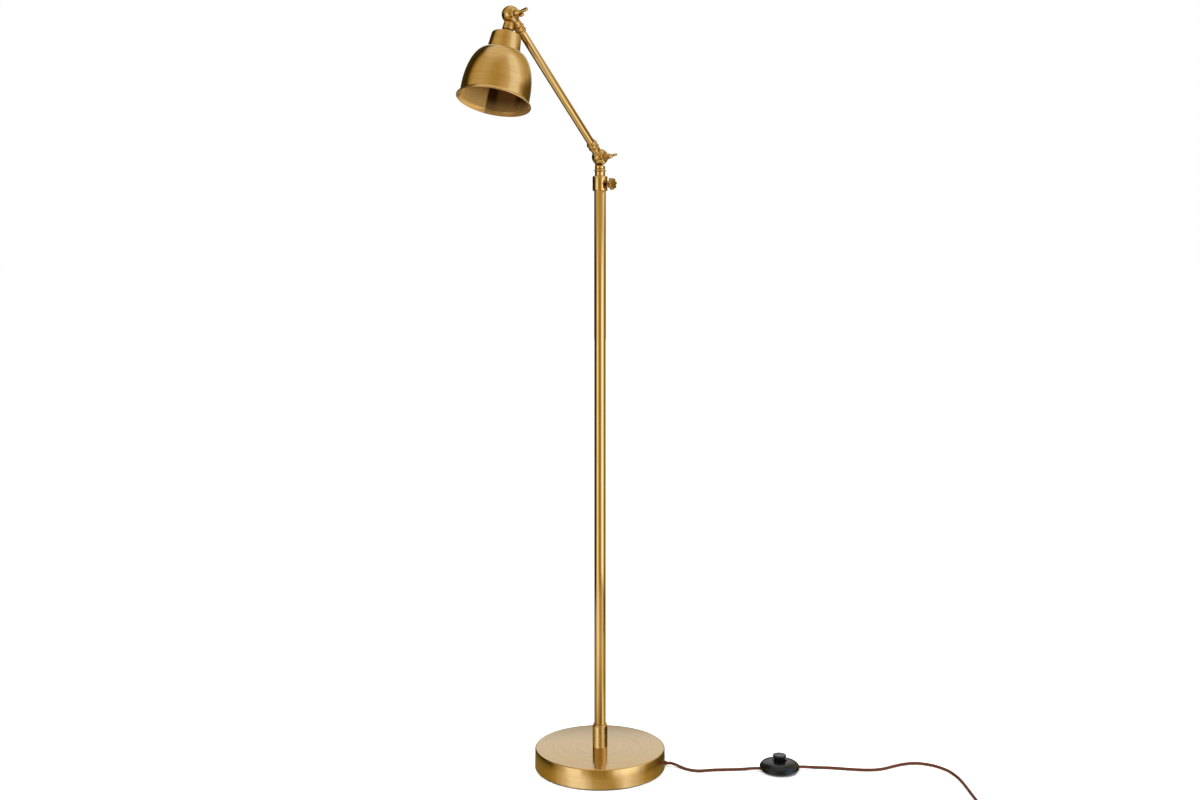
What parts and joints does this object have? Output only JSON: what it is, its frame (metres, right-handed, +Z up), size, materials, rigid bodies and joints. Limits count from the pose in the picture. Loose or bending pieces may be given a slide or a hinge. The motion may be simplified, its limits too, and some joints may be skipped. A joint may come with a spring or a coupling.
{
  "type": "floor lamp",
  "caption": "Brass floor lamp with a round weighted base, height-adjustable pole, hinged arm, tilting bell shade and a foot switch on its cord.",
  "frame": {"origin": "on the floor under the middle of the round base", "axes": "+Z up along the pole; +X towards the cord's exit; the arm leans out towards -X and -Y"},
  "size_m": [0.8628, 0.4005, 1.3193],
  "materials": {
    "brass": "antique brass, lightly brushed and lacquered",
    "aged_brass": "darker turned brass",
    "iron": "rough casting",
    "steel": "zinc plated",
    "felt": "pressed felt",
    "cord_sheath": "smooth dark brown sheath",
    "black_nylon": "moulded nylon",
    "black_plastic": "satin moulded",
    "lampholder_plastic": "phenolic moulding",
    "terminal_block": "moulded"
  },
  "bodies": {
    "stand": {"base_pad": "felt", "base_cover": "brass", "base_weight": "iron", "base_washer": "steel", "base_nut": "steel", "base_nipple": "steel", "post_socket": "brass", "outer_tube": "brass", "tube_bush": "black_nylon", "clamp_collar": "brass", "cord_bush": "cord_sheath", "lead_stand": "cord_sheath", "cord_short": "cord_sheath", "switch_base": "black_plastic", "switch_cover": "black_plastic", "switch_contacts": "terminal_block", "switch_screws": "steel", "switch_spring": "steel", "cord_long": "cord_sheath", "cord_coil": "cord_sheath", "cord_tie": "black_nylon", "cord_tail": "cord_sheath", "plug_body": "black_plastic", "plug_blades": "steel"},
    "clamp": {"clamp_knob": "brass", "clamp_screw": "aged_brass"},
    "guide": {"mast_guide": "black_nylon"},
    "mast": {"mast_tube": "aged_brass", "mast_rings": "steel", "mast_joint": "brass", "lower_screw": "steel", "lead_mast": "cord_sheath"},
    "lower_nut": {"lower_wing_nut": "brass"},
    "arm": {"arm_joint_lower": "brass", "arm_tube": "brass", "arm_joint_upper": "brass", "lower_seat_washer": "aged_brass", "upper_seat_washer": "aged_brass", "lead_arm": "cord_sheath"},
    "shade": {"shade_joint": "brass", "upper_screw": "steel", "shade_nipple": "steel", "neck_spacer": "aged_brass", "socket_cup": "brass", "bell_shade": "brass", "shade_ring": "lampholder_plastic", "nipple_nut": "steel", "lampholder_cap": "lampholder_plastic", "lampholder_body": "lampholder_plastic", "screw_shell": "brass", "centre_contact": "brass", "lead_shade": "cord_sheath"},
    "upper_nut": {"upper_wing_nut": "brass"},
    "button": {"switch_button": "black_plastic"}
  },
  "joints": [
    {"name": "mast_height", "type": "slide", "parent": "stand", "child": "guide", "axis": [0, 0, 1], "range_m": [0, 0.3]},
    {"name": "mast_turn", "type": "hinge", "parent": "guide", "child": "mast", "pos_m": [0, 0, 1], "axis": [0, 0, 1], "range_deg": [-170, 170]},
    {"name": "arm_tilt", "type": "hinge", "parent": "mast", "child": "arm", "pos_m": [0, 0, 1.0934], "axis": [0.7934, -0.6088, 0], "range_deg": [-48.8, 61]},
    {"name": "shade_tilt", "type": "hinge", "parent": "arm", "child": "shade", "pos_m": [-0.1468, -0.19132, 1.30451], "axis": [0.7934, -0.6088, 0], "range_deg": [-110, 6]},
    {"name": "clamp_turn", "type": "hinge", "parent": "stand", "child": "clamp", "pos_m": [0, 0, 1.0438], "axis": [0.7934, -0.6088, 0], "range_deg": [0, 360]},
    {"name": "lower_nut_turn", "type": "hinge", "parent": "mast", "child": "lower_nut", "pos_m": [0, 0, 1.0934], "axis": [0.7934, -0.6088, 0], "range_deg": [0, 360]},
    {"name": "upper_nut_turn", "type": "hinge", "parent": "shade", "child": "upper_nut", "pos_m": [-0.1468, -0.19132, 1.30451], "axis": [0.7934, -0.6088, 0], "range_deg": [0, 360]},
    {"name": "button_press", "type": "slide", "parent": "stand", "child": "button", "axis": [0, 0, -1], "range_m": [0, 0.0035], "stiffness_N_per_m": 800, "springref_m": -0.002, "deforming": ["switch_spring"]}
  ]
}
